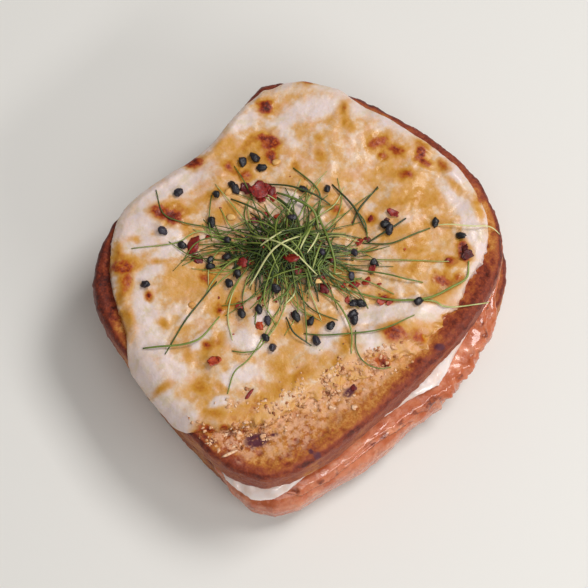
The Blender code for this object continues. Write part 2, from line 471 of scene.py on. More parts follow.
def slice_of_ham(node, name, seed, frill, browning):
    """One slice, gently waved along its edge where it hangs free, and crimped on the right."""
    piece = fleshed_out(node, name, HAM_GRAIN, 8)
    middle = box_middle(node)
    hollow_out(piece, middle, HAM_SHOWING, HAM_SHOWING)
    points = points_of(piece)
    normals = normals_of(piece)
    angle, inset = round_the_loaf(points, middle)
    loose = 1 - ease(inset, 0.5 * MM, 7 * MM)
    at_right = 1 - ease(np.abs(angle - 0.25), 0.15, 0.5)
    round_the_edge = outward(angle) * EDGE_LENGTH
    pleats = lumps(round_the_edge, PLEAT_WIDTH, seed, 2) * (0.35 + 2 * at_right)
    pleats += lumps(round_the_edge, WAVE_WIDTH, seed + 1, 1) * 1.2
    ragged = lumps(points, 2.4 * MM, seed + 2) * (1 - ease(inset, 0, 2 * MM)) * (0.4 + at_right)
    push = frill * (0.9 * loose * pleats + 0.6 * ragged) * MM
    points = points + outward(angle, -0.3) * push[:, None]
    points += normals * (0.22 * MM * lumps(points, 5 * MM, seed + 3))[:, None]
    set_points(piece, points)
    singed = (1 - ease(inset, 0.3 * MM, 3.5 * MM)) * ease(lumps(points, 3.4 * MM, seed + 4), -0.05, 0.35)
    paint(piece, "singed", singed * browning)
    seared = ease(normals[:, 2], 0.0, 0.8) * ease(lumps(points, 7 * MM, seed + 5), -0.4, 0.3)
    paint(piece, "seared", seared)
    return piece, angle, inset


def lay_on(piece, below, thickness):
    """Lifts a piece wherever it would sink into what is below it."""
    tree = surface_tree(below)
    points = points_of(piece)
    upper = normals_of(piece)[:, 2] > 0
    for i, (x, y, z) in enumerate(points.tolist()):
        place, _, _, _ = tree.ray_cast(Vector((x, y, 0.1)), Vector((0, 0, -1)))
        if place:
            points[i, 2] = max(z, place.z + (thickness if upper[i] else HAM_GAP))
    set_points(piece, points)


HAM_PINK = colour(212, 132, 94)
HAM_DEEP = colour(184, 92, 54)
HAM_FAT = colour(232, 174, 142)
HAM_SEARED = colour(176, 84, 36)
HAM_SINGED = colour(110, 40, 18)


def cooked_ham():
    """Pink meat, wet and a little see-through, seared golden on top and singed at its edge."""
    made, tree, shader = new_material("cooked ham")
    warmth = use_group(tree, mottle, 6 * MM, 0.34, 0.66, 1.0)
    marbling = use_group(tree, mottle, 1.8 * MM, 0.5, 0.7, 5.0)
    meat = mixed(tree, warmth, HAM_PINK, HAM_DEEP)
    meat = mixed(tree, times(tree, marbling, 0.45), meat, HAM_FAT)
    sear = times(tree, patchy(tree, "seared", 3 * MM, 0.3, 0.6, 4.0), 0.85)
    meat = mixed(tree, sear, meat, HAM_SEARED)
    surface = mixed(tree, patchy(tree, "singed", 1.2 * MM, 0.34, 0.56, 8.0), meat, HAM_SINGED)
    set_shader(
        tree,
        shader,
        {
            "Base Color": surface,
            "Roughness": between(tree, marbling, -1.0, 3.0),
            "Subsurface Weight": 0.25,
            "Subsurface Radius": (1.0, 0.4, 0.2),
            "Subsurface Scale": 1.0 * MM,
            "Specular IOR Level": 0.3,
            "Coat Weight": 0.7,
            "Coat Roughness": 0.08,
            "Normal": use_group(tree, grain, 1.8 * MM, 0.4 * MM, 0.6),
        },
    )
    return made


ham = cooked_ham()
ham_under, _, _ = slice_of_ham("ham_lower", "ham_under", 11, 0.6, 0.3)
dress(ham_under, ham, "ham_lower")
ham_over, over_angle, over_inset = slice_of_ham("ham_upper", "ham_over", 21, 1.0, 1.0)
# Towards the foot, on the right, the upper one stops a little short of the lower one.
drawn_back = ease(over_angle, -1.5, -1.1) * (1 - ease(over_angle, -0.15, 0.15))
drawn_back *= HAM_STEP * (1 - ease(over_inset, 0, 9 * MM))
set_points(ham_over, points_of(ham_over) - outward(over_angle) * drawn_back[:, None])
lay_on(ham_over, ham_under, HAM_THICKNESS)
dress(ham_over, ham, "ham_upper")

# ------------------------------------------------------------
# The white sauce: a thick flour-and-milk sauce spread between the ham and the upper slice. The
# weight of the bread has squeezed it out at the foot corner and on the right.
# ------------------------------------------------------------
SAUCE_GRAIN = 0.5 * MM
SAUCE_DROOP = 1.5 * MM
SAUCE_PALE = colour(240, 226, 220)
SAUCE_CREAM = colour(230, 204, 190)

sauce = fleshed_out("sauce", "white_sauce", SAUCE_GRAIN, 14)
hollow_out(sauce, box_middle("sauce"), HAM_SHOWING, HAM_SHOWING)
sauce_points = points_of(sauce)
sauce_push = 0.7 * lumps(sauce_points, 9 * MM, 31, 2) + 0.12 * lumps(sauce_points, 3 * MM, 32, 2)
_, sauce_inset = round_the_loaf(sauce_points, box_middle("sauce"))
droop = (1 - ease(sauce_inset, 0, 5 * MM)) * ease(lumps(sauce_points, 7 * MM, 33, 2), -0.2, 0.5)
sauce_points = sauce_points + normals_of(sauce) * (sauce_push * MM)[:, None]
sauce_points[:, 2] -= SAUCE_DROOP * droop
set_points(sauce, sauce_points)


def white_sauce():
    """Thick sauce with a wet skin, a little creamier in places."""
    made, tree, shader = new_material("white sauce")
    skin = use_group(tree, mottle, 5 * MM, 0.4, 0.66, 2.0)
    surface = mixed(tree, skin, SAUCE_PALE, SAUCE_CREAM)
    set_shader(
        tree,
        shader,
        {
            "Base Color": surface,
            "Roughness": between(tree, skin, -1.0, 4.0),
            "Subsurface Weight": 0.25,
            "Subsurface Radius": (1.0, 0.8, 0.6),
            "Subsurface Scale": 1.2 * MM,
            "Coat Weight": 0.5,
            "Coat Roughness": 0.12,
            "Normal": use_group(tree, grain, 3 * MM, 0.25 * MM, 0.25),
        },
    )
    return made


dress(sauce, white_sauce(), "sauce")

# ------------------------------------------------------------
# The upper slice of bread: toasted darker than the lower one, and bare along its right side and
# at the foot corner, where the cheese stops short. Fat and cheese have burnt on to it in spots.
# ------------------------------------------------------------
UPPER_GRAIN = 0.46 * MM
UNDER_THE_TOPPING = 26 * MM  # further in than this, the slice's top face is covered
OVER_THE_SAUCE = 10 * MM  # and its under face
DUST_RELIEF = 0.4 * MM
# What lies on the slice is placed from here, a little off the middle of the slice's box.
loaf_middle = box_middle("bread_upper") + Vector((0.85, -0.91, 0)) * MM

# Ovals in millimetres from the middle of the slice: (x, y, half length, squash, turn in degrees).
SCORCHES = (
    (27.5, -45, 3.4, 0.75, 45), (36.5, -16.5, 2.6, 0.5, 80), (46, 11, 1.7, 0.6, 45),
    (30, -40.5, 1.2, 0.5, 45), (14, -53, 1.6, 0.7, 0), (43, -36.5, 1.3, 0.7, 80),
    (19, -54, 1.5, 0.6, 20), (41, -37, 1, 0.7, 0),
)
CHEESE_DUST = ((35, -12, 26, 0.27, 87), (32, -38, 13, 0.5, 65), (24, -50, 8, 0.5, 10))
# Ovals with a sixth number: how far the place has cooked, from 0, pale, to 1, burnt; one is painted
# shade.
TOAST_AND_SHADE_PATCHES = (
    (31, -24, 8, 0.5, 70, 0.2), (36, -18, 6, 0.5, 75, 0.3), (29, -36, 5, 0.5, 70, 0.28),
    (34, -42, 4, 0.5, 50, 0.36), (39, 8, 12, 0.3, 90, 0.26), (40, -4, 8, 0.4, 90, 0.3),
    (38, -28, 6, 0.4, 75, 0.5), (33, -31, 3, 0.5, 40, 0.5), (42, -16, 9, 0.35, 85, 0.47),
    (39, -38, 7, 0.45, 60, 0.64), (41, -48, 9, 0.35, 50, 0.74), (42, 34, 9, 0.45, -60, 0.8),
    # (-40, -44) darkens the left crust towards the foot: painted shade, not more baking.
    (30, -54, 10, 0.3, 8, 0.76), (24, -50, 5, 0.4, 20, 0.62), (-40, -44, 20, 0.5, -45, 0.9),
    (-44, 38, 9, 0.4, 55, 0.86), (47, -6, 16, 0.17, 90, 0.78), (46, -32, 9, 0.22, 85, 0.76),
    (45, 21, 13, 0.3, 95, 0.83), (0, 58, 40, 0.1, 0, 0.8),
)


def out_of_ovals(points, places, raggedness=0.3):
    """How far each point is from the nearest oval: 0 at its middle, 1 at its uneven edge."""
    across = (points - np.array(loaf_middle))[:, :2] / MM
    nearest = np.full(len(points), 9.0)
    for x, y, half_length, squash, turn in places:
        cos, sin = math.cos(math.radians(turn)), math.sin(math.radians(turn))
        along = (across[:, 0] - x) * cos + (across[:, 1] - y) * sin
        aside = (across[:, 1] - y) * cos - (across[:, 0] - x) * sin
        nearest = np.minimum(nearest, np.hypot(along, aside / squash) / half_length)
    return nearest + raggedness * lumps(points, 2.8 * MM, 77)


def cook(points, heat, places, inner, outer, raggedness):
    """Brings the heat in each oval to that oval's own level, with a soft edge."""
    heat = heat.copy()
    total = np.zeros(len(heat))
    for *oval, level in places:
        share = 1 - ease(out_of_ovals(points, [oval], raggedness), inner, outer)
        heat += (level - heat) * share
        total = np.maximum(total, share)
    return heat, total


upper_slice, upper_points, upper_heat = sliced_bread(
    "bread_upper", "upper_slice", 7, UPPER_GRAIN, UNDER_THE_TOPPING, OVER_THE_SAUCE
)
cooked_and_shaded, _ = cook(upper_points, upper_heat, TOAST_AND_SHADE_PATCHES, 0.3, 1.5, 0.4)
scorch = 1 - ease(out_of_ovals(upper_points, SCORCHES), 0.6, 1.2)
# The cooked level painted here also carries the painted shade on the left crust towards the foot.
paint(upper_slice, "cooked", 0.2 * upper_heat + 0.8 * cooked_and_shaded)
paint(upper_slice, "scorch", scorch)
dusted = 1 - ease(out_of_ovals(upper_points, CHEESE_DUST, 0.4), 0.5, 1.15)
paint(upper_slice, "dusted", dusted)
upper_surface = points_of(upper_slice)
upper_surface[:, 2] += DUST_RELIEF * dusted * lumps(upper_surface, 1.5 * MM, 78)
set_points(upper_slice, upper_surface)
dress(upper_slice, toast, "bread_upper")

# ------------------------------------------------------------
# The topping: white sauce and grated cheese, melted together under the grill. It is white and
# thick at the rim, gold where the cheese lies, blistered brown in spots, and thin at the toast.
# ------------------------------------------------------------
TOPPING_GRAIN = 0.4 * MM
UNSEEN_UNDERSIDE = 9 * MM
SHREDS = 170
OVERHANG = 2.6 * MM  # where the topping has run over the crust at the foot
OVERHANG_DROP = 3.4 * MM
HALO_WIDTH = 1.4  # millimetres of gold round each blister
HALO_HEAT = 0.66
FOOT_DIRECTION = -93  # degrees from the middle of the slice, where it has run over
SINK = 0.3 * MM  # how far it goes into the bread it has melted on to
# White sauce that lies bare; cheese that has turned gold; and blisters, with their levels.
WHITE_PATCHES = (
    (-30, 39, 7, 0.4, 50), (-34, 30, 6, 0.42, 85), (-33, 26.5, 5.5, 0.45, 5), (-43, 22, 6, 0.4, 80),
    (-22, 47, 5, 0.4, 15), (-12, 52, 8, 0.3, 18), (13, 53, 6, 0.35, -5), (20, 47, 8, 0.32, -10),
    (29, 44, 7, 0.45, -35), (35, 41, 4, 0.5, -55), (-43, -3, 8, 0.55, 85), (-45, -14, 8, 0.4, 90),
    (-42, -23, 7, 0.6, 65), (-37, -27, 5, 0.5, 60), (-33, -18, 5, 0.5, 80), (-30, -22, 5, 0.5, 80),
    (-29, -32, 5, 0.42, 70), (-22, -40, 9, 0.36, -35), (-13, -46, 8, 0.5, -20), (-4, -47, 6, 0.5, 5),
    (-9, -51, 8, 0.4, -15), (5, -54, 8, 0.35, 0), (-4, -37, 4, 0.4, 80), (31, -2, 5.5, 0.6, 10),
    (28, 7, 8, 0.34, 60), (22, -8, 6, 0.42, 85), (26, 2, 3.5, 0.4, 60), (6, -27, 6, 0.5, 20),
    (-14, 13, 4.5, 0.5, -10), (13, -45, 3, 0.5, 70), (12, -35, 5, 0.5, 60), (37, 18, 4, 0.3, 45),
    (4, -19, 3, 0.5, 70), (35, 14, 4, 0.4, 45), (21, -14, 3, 0.5, 90),
)
GOLD_PATCHES = (
    (-24, 44.5, 3.4, 0.6, 90, 0.64), (-20, 42, 3.5, 0.4, 0, 0.56), (-23, 33, 1.8, 0.6, 30, 0.54),
    (-18.5, 29.5, 2.8, 0.6, 0, 0.57), (-22, 22, 2.2, 0.6, -20, 0.66), (-10, 44, 5, 0.5, 20, 0.6),
    (12, 40, 8, 0.5, 40, 0.5), (2, 41, 8, 0.45, 20, 0.45), (-33, 16, 6, 0.7, 60, 0.5),
    (-37, 18, 5.5, 0.3, 85, 0.57), (-32, 15, 5, 0.5, 45, 0.55), (-33, 9, 4, 0.6, 0, 0.54),
    (-42, 12, 6, 0.4, 80, 0.46), (-33, -2, 4.5, 0.4, 70, 0.58), (-37, -11, 5, 0.4, 25, 0.62),
    (-32, -14, 4.5, 0.45, -30, 0.58), (-39, -27, 2.2, 0.7, 0, 0.46), (-30, -28, 2, 0.6, 60, 0.46),
    (-40, -33.5, 3.6, 0.5, -40, 0.61), (-34, -32.5, 3.8, 0.45, 0, 0.6), (-32, -40, 5, 0.4, -45, 0.56),
    (-24, -45.5, 8, 0.3, -28, 0.54), (-19, -27, 8, 0.7, 30, 0.4), (-15, -22, 3, 0.6, 0, 0.55),
    (-15, -39.5, 2, 0.8, 0, 0.58), (-6, -23, 5, 0.45, 80, 0.58), (-0.5, -33, 3.4, 0.7, 80, 0.62),
    (-4, -41, 3.6, 0.4, -45, 0.52), (-2, -52, 3, 0.5, 70, 0.55), (6, -45.5, 4.4, 0.7, 30, 0.6),
    (10, -42, 3, 0.5, 0, 0.5), (21, -39, 8, 0.32, 86, 0.61), (15, -48.5, 4, 0.5, 20, 0.57),
    (20, -46, 3.6, 0.6, 60, 0.62), (24, -24, 5, 0.5, 70, 0.6), (18, -25, 4.5, 0.5, 40, 0.52),
    (22, -31, 5, 0.5, 80, 0.5), (26, -7, 5, 0.4, -50, 0.57), (28.5, -13.5, 1.8, 0.8, 0, 0.6),
    (16, -8, 5, 0.4, 50, 0.6), (12, -15, 5, 0.5, 30, 0.53), (20, 27, 6, 0.6, 70, 0.56),
    (25, 22, 5, 0.4, 80, 0.57), (27, 29, 4, 0.4, 50, 0.52), (19, 36, 6, 0.5, 60, 0.5),
    (26, 49, 6, 0.3, -30, 0.5), (16, 50, 5, 0.3, -10, 0.44), (7, 33, 5, 0.4, 60, 0.5),
    (14, 27, 6, 0.4, 60, 0.48), (36.5, 8, 3, 0.6, 80, 0.62), (37, 27, 4, 0.4, 80, 0.5),
    (-26, -3, 5, 0.6, 60, 0.52), (35, 22, 5, 0.5, 80, 0.54), (0, 53, 5, 0.4, 10, 0.56),
    (32, 32, 3, 0.5, 60, 0.6),
)
BLISTERS = (
    (-40, -16, 3.2, 0.6, 18, 0.8), (-36.5, -14.5, 2.8, 0.7, 10, 0.88), (-36, -36, 3, 0.65, 20, 0.84),
    (-31.5, -38.5, 2.4, 0.5, -50, 0.76), (-33, 22.5, 3.2, 0.8, 20, 0.88),
    (-29.5, 19.5, 2.4, 0.5, -60, 0.87), (-42, 30, 2.4, 0.8, 20, 0.9), (-45, 2, 3, 0.6, 30, 0.85),
    (-37, 42.5, 1.7, 0.7, 45, 0.84), (-10, 44, 2.2, 0.6, 70, 0.76), (-6, 42.5, 1.1, 0.7, 30, 0.74),
    (-4, 46.5, 2, 0.6, 25, 0.82), (1.5, 51, 1.9, 0.7, -30, 0.84), (4.5, 49.3, 2, 0.5, 10, 0.84),
    (3.5, 43, 1.4, 0.7, 30, 0.8), (9, 52.5, 1.3, 0.7, 0, 0.74), (32, 36.5, 3, 0.5, -40, 0.9),
    (24, 53, 1.6, 0.6, -45, 0.84), (34, 4, 3, 0.6, 60, 0.84), (37, -4.5, 2.8, 0.7, 40, 0.78),
    (38, 8, 1.6, 0.6, 60, 0.76), (15.5, -53, 2.2, 0.6, 20, 0.86), (20, -49.5, 1.8, 0.6, 30, 0.8),
    (33, 25.5, 2.1, 0.7, 30, 0.76), (36, 29, 1.1, 0.6, 70, 0.78), (31, 31.5, 1, 0.8, 0, 0.78),
    (-16, -21.5, 1.4, 0.7, 0, 0.76), (-24, -36.5, 0.8, 0.6, -40, 0.85), (-36, 8, 1, 0.7, -20, 0.8),
    (-30.5, 9.5, 1.6, 0.6, 40, 0.76), (-1.5, -35.5, 1, 0.5, 20, 0.8),
    (-6.5, -25.5, 1.1, 0.6, -20, 0.82), (26, 10.5, 1.3, 0.6, 30, 0.76), (-4, 20.5, 1, 0.8, 0, 0.8),
    (40, 18, 1.6, 0.5, 60, 0.8), (5.5, 25, 1, 0.7, 0, 0.76),
)
# Where the topping runs further out, or stops short: (direction and half width in degrees, mm).
REACHES = ((145, 5, -0.6), (127, 10, 3.2), (108, 8, 0.8), (20, 14, 2.6), (-34, 16, -2.6))

UNDER_THE_NEST = (0, 2, 25, 0.72, 30)  # where oil and juice from the shoots have run

bread_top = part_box("bread_upper")[1].z
cheese = fleshed_out("cheese_topping", "melted_cheese", TOPPING_GRAIN, 8)
hollow_out(cheese, box_middle("cheese_topping"), None, UNSEEN_UNDERSIDE)
cheese_points = points_of(cheese)
cheese_normals = normals_of(cheese)
cheese_angle, cheese_inset = round_the_loaf(cheese_points, loaf_middle)
facing_up = ease(cheese_normals[:, 2], 0.1, 0.7)


def shred_ridges(points, count, seed):
    """Half-melted strands of grated cheese, as low ridges lying all ways."""
    chance = random.Random(seed)
    across = (points - np.array(loaf_middle))[:, :2] / MM
    ridges = np.zeros(len(points))
    for _ in range(count):
        centre = np.array((chance.uniform(-46, 40), chance.uniform(-52, 52)))
        turn = chance.uniform(0, math.pi)
        direction = np.array((math.cos(turn), math.sin(turn)))
        half = chance.uniform(2, 5)
        bend = chance.uniform(-0.06, 0.06)
        offset = across - centre
        along = offset @ direction
        aside = offset @ np.array((-direction[1], direction[0])) - bend * along**2
        beyond = np.maximum(np.abs(along) - half, 0)
        away = np.hypot(aside, beyond) / chance.uniform(0.7, 1.2)
        ridges = np.maximum(ridges, np.clip(1 - away**2, 0, 1))
    return ridges


# How far each part of the topping has cooked, from 0, white sauce, to 1, burnt.
rim = 1 - ease(cheese_inset, 1 * MM, 5 * MM)
by_toast = ease(cheese_angle, -1.28, -1.08) * (1 - ease(cheese_angle, 0.4, 0.7))
thinned = by_toast * (1 - ease(cheese_inset, 0, 7 * MM))
ridges = shred_ridges(cheese_points, SHREDS, 5)
drift = lumps(cheese_points, 13 * MM, 41)
curdle = lumps(cheese_points, 3.2 * MM, 46)
white = 1 - ease(out_of_ovals(cheese_points, WHITE_PATCHES, 0.45), 0.5, 1.5)
white = np.maximum(white, 0.9 * (1 - by_toast) * rim * ease(curdle + drift, -0.45, 0.2))
heat = 0.25 + 0.12 * drift + 0.16 * curdle - 0.06 * ridges
heat += (0.42 - heat) * thinned * 0.7
heat, gold = cook(cheese_points, heat, GOLD_PATCHES, 0.1, 1.4, 0.4)
still_white = white * (1 - 0.75 * gold)
heat = heat * (1 - still_white) + (0.08 + 0.08 * curdle) * still_white
halos = [
    (x, y, half + HALO_WIDTH, squash**0.7, turn, HALO_HEAT) for x, y, half, squash, turn, _ in BLISTERS
]
heat, halo = cook(cheese_points, heat, halos, 0.4, 1.35, 0.4)
heat, blister = cook(cheese_points, heat, BLISTERS, 0.45, 1.35, 0.4)
white = white * (1 - gold) * (1 - halo)

# The relief in millimetres: soft swells, curds, shreds, burst bubbles, blisters, thick sauce.
relief = (
    0.6 * lumps(cheese_points, 10 * MM, 42, 2)
    + 0.18 * lumps(cheese_points, 3.4 * MM, 43)
    + 0.16 * ridges * (1 - white)
    + 0.2 * pits(cheese_points, 3.6 * MM, 0.5, 44) * (1 - white)
    + blister * (0.1 + 0.2 * lumps(cheese_points, 1.6 * MM, 45))
    + 0.15 * white
)
reach = np.zeros(len(cheese_points))
for direction, half_width, further in REACHES:
    turned = np.degrees(cheese_angle) - direction
    turned = np.abs((turned + 180) % 360 - 180)
    reach += further * (1 - ease(turned, 0.4 * half_width, 1.6 * half_width))
edge_wander = 1.3 * lumps(cheese_points, 2.8 * MM, 47) + 1.3 * lumps(cheese_points, 11 * MM, 48, 1)
shift = reach * (1 - ease(cheese_inset, 1 * MM, 9 * MM))
shift += 1.5 * by_toast * (1 - ease(cheese_inset, 0, 4 * MM)) * edge_wander
cheese_outward = outward(cheese_angle)
cheese_points = cheese_points + cheese_normals * (relief * facing_up * MM)[:, None]
cheese_points += cheese_outward * (shift * MM)[:, None]
# It thins out where it meets the bare toast, and runs over the crust at the foot.
melted_away = by_toast * (1 - ease(cheese_inset, 0, 3.5 * MM))
thin_rim = 0.35 * (1 - ease(cheese_inset, 0, 3 * MM))
thickness_left = 1 - np.maximum(0.7 * thinned, np.maximum(melted_away, thin_rim))
cheese_points[:, 2] = bread_top + (cheese_points[:, 2] - bread_top) * thickness_left
at_foot = 1 - ease(np.abs(np.degrees(cheese_angle) - FOOT_DIRECTION), 10, 22)
sagging = 2.5 * MM * lumps(cheese_points, 12 * MM, 49, 1)
running_over = at_foot * (1 - ease(cheese_inset + sagging, 0, 7 * MM))
cheese_points += cheese_outward * (OVERHANG * running_over)[:, None]
cheese_points[:, 2] -= OVERHANG_DROP * running_over**2


def settle_on_bread(piece, points, normals, sink):
    """Brings the underside of a melted piece down into the surface of the upper slice."""
    bread = surface_tree(upper_slice)
    for i, (point, normal) in enumerate(zip(points.tolist(), normals)):
        place, out, _, _ = bread.find_nearest(Vector(point))
        facing = out.dot(Vector(normal))
        weight = min(1, max(0, (0.25 - facing) / 0.6))
        if weight > 0:
            target = place - out * sink
            points[i] = Vector(point).lerp(target, weight)
    set_points(piece, points)


settle_on_bread(cheese, cheese_points, cheese_normals, SINK)
paint(cheese, "cooked", heat)
paint(cheese, "white", white)
paint(cheese, "crumbly", thinned * ease(curdle, -0.4, 0.3))
paint(cheese, "herby", 1 - ease(out_of_ovals(cheese_points, [UNDER_THE_NEST], 0.5), 0.3, 1.2))

GRILLED_CHEESE = [
    (0.0, colour(230, 206, 198)), (0.14, colour(224, 194, 164)), (0.28, colour(214, 162, 100)),
    (0.4, colour(207, 149, 64)), (0.52, colour(199, 136, 36)), (0.64, colour(181, 110, 18)),
    (0.75, colour(172, 76, 12)), (0.86, colour(130, 38, 8)), (1.0, colour(70, 20, 8)),
]


ROSY = colour(228, 170, 150)
BUTTERY = colour(205, 153, 68)
HERB_STAIN = colour(170, 126, 44)
DRY_CRUMBS = colour(226, 172, 138)
MILK_WHITE = colour(228, 214, 216)
LIME_TINGE = colour(198, 178, 96)


def melted_cheese():
    """White sauce and cheese by how far they have cooked, tinged in places, and wet with fat."""
    made, tree, shader = new_material("melted cheese")
    heat = use_group(tree, flecked, mask(tree, "cooked"), 1.5 * MM, 0.28, 0.4)
    oily = use_group(tree, mottle, 4 * MM, 0.4, 0.6, 9.0)
    melt = ramp(tree, heat, GRILLED_CHEESE)
    rosy = times(tree, use_group(tree, mottle, 3.4 * MM, 0.46, 0.66, 3.0), 0.3)
    melt = mixed(tree, times(tree, rosy, between(tree, heat, 0.6, 0.3)), melt, ROSY)
    buttery = times(tree, use_group(tree, mottle, 4.6 * MM, 0.5, 0.7, 6.0), 0.4)
    melt = mixed(tree, times(tree, buttery, between(tree, heat, 0.7, 0.4)), melt, BUTTERY)
    herby = patchy(tree, "herby", 2.6 * MM, 0.36, 0.62, 4.0)
    melt = mixed(tree, times(tree, herby, 0.55), melt, HERB_STAIN)
    crumbly = patchy(tree, "crumbly", 1.2 * MM, 0.4, 0.56, 7.0)
    melt = mixed(tree, times(tree, crumbly, 0.7), melt, DRY_CRUMBS)
    melt = mixed(tree, times(tree, mask(tree, "white"), 0.55), melt, MILK_WHITE)
    lime = patchy(tree, "white", 2.8 * MM, 0.48, 0.66, 11.0)
    melt = mixed(tree, times(tree, lime, 0.35), melt, LIME_TINGE)
    dull = plus(tree, 0.34, times(tree, oily, 0.16))
    dull = plus(tree, dull, times(tree, mask(tree, "white"), -0.06))
    set_shader(
        tree,
        shader,
        {
            "Base Color": melt,
            "Roughness": dull,
            "Subsurface Weight": 0.15,
            "Subsurface Radius": (1.0, 0.7, 0.4),
            "Subsurface Scale": 1.2 * MM,
            "Specular IOR Level": 0.35,
            "Coat Weight": times(tree, between(tree, heat, 0.75, 0.6), 0.22),
            "Coat Roughness": 0.16,
            "Normal": use_group(tree, grain, 1.3 * MM, 0.3 * MM, 0.75),
        },
    )
    return made


dress(cheese, melted_cheese(), "cheese_topping")

# ------------------------------------------------------------
# The crumbs: grated cheese that fell short of the topping and crisped on the bare toast, from
# dust to scraps the size of a rice grain, with one pale stick of cheese over the crust.
# ------------------------------------------------------------
CRUMB_COUNT = 1200
FOOT_END = -56  # the strip of toast that they lie on, in millimetres along the slice
CROWN_END = 4
STRIP_SPREAD = 4
LARGE_SHARE = 0.12  # of all the crumbs
PALE_SHARE = 0.86
food_below = surface_tree(cheese, upper_slice)


def height_at(x, y):
    """The height of the food at a place, or None past its edge."""
    place, _, _, _ = food_below.ray_cast(Vector((x, y, 0.1)), Vector((0, 0, -1)))
    return place.z if place else None


def on_the_slice(x, y):
    """A place in millimetres from the middle of the slice, in the frame, on top of the food."""
    at_x = loaf_middle.x + x * MM
    at_y = loaf_middle.y + y * MM
    ground = height_at(at_x, at_y)
    return None if ground is None else Vector((at_x, at_y, ground))


def any_turn(chance, tip):
    """A random way to lie, tipped by about the angle tip."""
    return Euler((chance.gauss(0, tip), chance.gauss(0, tip), chance.uniform(0, math.tau))).to_matrix()


def add_grain(shape, size, place, turn, roughness, seed, detail=2, taper=0.0, curl=0.0):
    """Adds a small lump: an uneven ball of three sizes, tapered or curled, turned and put down."""
    made = bmesh.ops.create_icosphere(shape, subdivisions=detail, radius=1)
    for v in made["verts"]:
        direction = v.co.copy()
        swell = 1 + roughness * noise.noise(direction * 1.7 + Vector((seed, 0, seed * 0.7)))
        v.co = direction * swell
        v.co.x *= size[0]
        narrow = 1 - taper * (direction.x + 1) / 2
        v.co.y *= size[1] * narrow
        v.co.z = v.co.z * size[2] * narrow + curl * size[0] * (direction.x**2 + 0.4 * direction.y**2)
        v.co = place + turn @ v.co
    return len(made["verts"])


def finish_mesh(name, shape, tints):
    """The shape as a piece, with one tint for each point."""
    mesh = bpy.data.meshes.new(name)
    bmesh.ops.recalc_face_normals(shape, faces=shape.faces)
    shape.to_mesh(mesh)
    shape.free()
    mesh.shade_smooth()
    piece = bpy.data.objects.new(name, mesh)
    bpy.context.scene.collection.objects.link(piece)
    paint(piece, "tint", np.array(tints))
    return piece


def tinted(name, stops, size, roughness):
    """A small thing's material: its tint through the stops, with specks and a fine grain."""
    made, tree, shader = new_material(name)
    specks = times(tree, use_group(tree, mottle, size, 0.35, 0.65, 1.0), 0.35)
    tint = plus(tree, plus(tree, mask(tree, "tint"), specks), -0.17)
    set_shader(
        tree,
        shader,
        {
            "Base Color": ramp(tree, tint, stops),
            "Roughness": plus(tree, roughness, times(tree, specks, 0.5)),
            "Normal": use_group(tree, grain, size * 0.6, size * 0.2, 0.7),
        },
    )
    return made


chance = random.Random(12)
crumbs = bmesh.new()
crumb_tints = []
for i in range(CRUMB_COUNT):
    along = chance.uniform(FOOT_END, CROWN_END)
    from_topping = chance.gauss(1, STRIP_SPREAD)
    topping_edge = 36 - 0.0042 * (along - 8) ** 2 - (3 if along < 0 else 0)
    place = on_the_slice(topping_edge + from_topping, along)
    over_the_edge = -9 if along < -8 else 0  # only towards the foot do they lie on the topping
    if place is None or not over_the_edge < from_topping < 11:
        continue
    if noise.noise(place / (5 * MM)) < chance.uniform(-0.3, 0.35):
        continue
    scale = chance.uniform(0.15, 0.5) * (1.8 if chance.random() < LARGE_SHARE else 1)
    size = Vector((scale * chance.uniform(1, 1.8), scale, scale * 0.45)) * MM
    place.z -= 0.3 * size.z
    detail = 1 if scale < 0.3 else 2
    count = add_grain(crumbs, size, place, any_turn(chance, 0.3), 0.9, i * 1.9, detail)
    pale = chance.random() < PALE_SHARE
    tint = chance.gauss(0.25, 0.12) if pale else chance.uniform(0.45, 0.8)
    crumb_tints += [min(1, max(0, tint))] * count
stick_size = Vector((2.6, 0.45, 0.4)) * MM
stick_place = on_the_slice(25, -53.5) + Vector((0, 0, 0.4 * MM))
stick_turn = Euler((0, 0.12, math.radians(72))).to_matrix()
stick_count = add_grain(crumbs, stick_size, stick_place, stick_turn, 0.4, 7)
crumb_tints += [0.1] * stick_count
crumb_piece = finish_mesh("toast_crumbs", crumbs, crumb_tints)
CRISPED = [
    (0.0, colour(236, 200, 168)), (0.3, colour(220, 166, 120)), (0.6, colour(170, 98, 46)),
    (1.0, colour(92, 44, 26)),
]
dress(crumb_piece, tinted("crisped cheese", CRISPED, 0.8 * MM, 0.5), None)

# ------------------------------------------------------------
# The shoots: thread-thin sprouted onion stems in a loose nest, with long ones trailing out over
# the cheese. Each is a soft green blade, pale towards its root.
# ------------------------------------------------------------
SHOOT_SIDES = 6
SHOOT_STEPS = 16
NEST_HEIGHT = 8.5 * MM
NEST_HALF_LENGTH = 15.5  # the nest is an oval, in millimetres
NEST_SQUASH = 0.66
NEST_TURN = math.radians(42)
SHOOT_FLATNESS = 0.6  # a blade's thickness as a share of its width
CORE_SHOOTS = 220
STRAY_SHOOTS = 130
nest_low, nest_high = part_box("shoot_nest")
nest_middle = (nest_low + nest_high) / 2 + Vector((0.5, -3, 0)) * MM
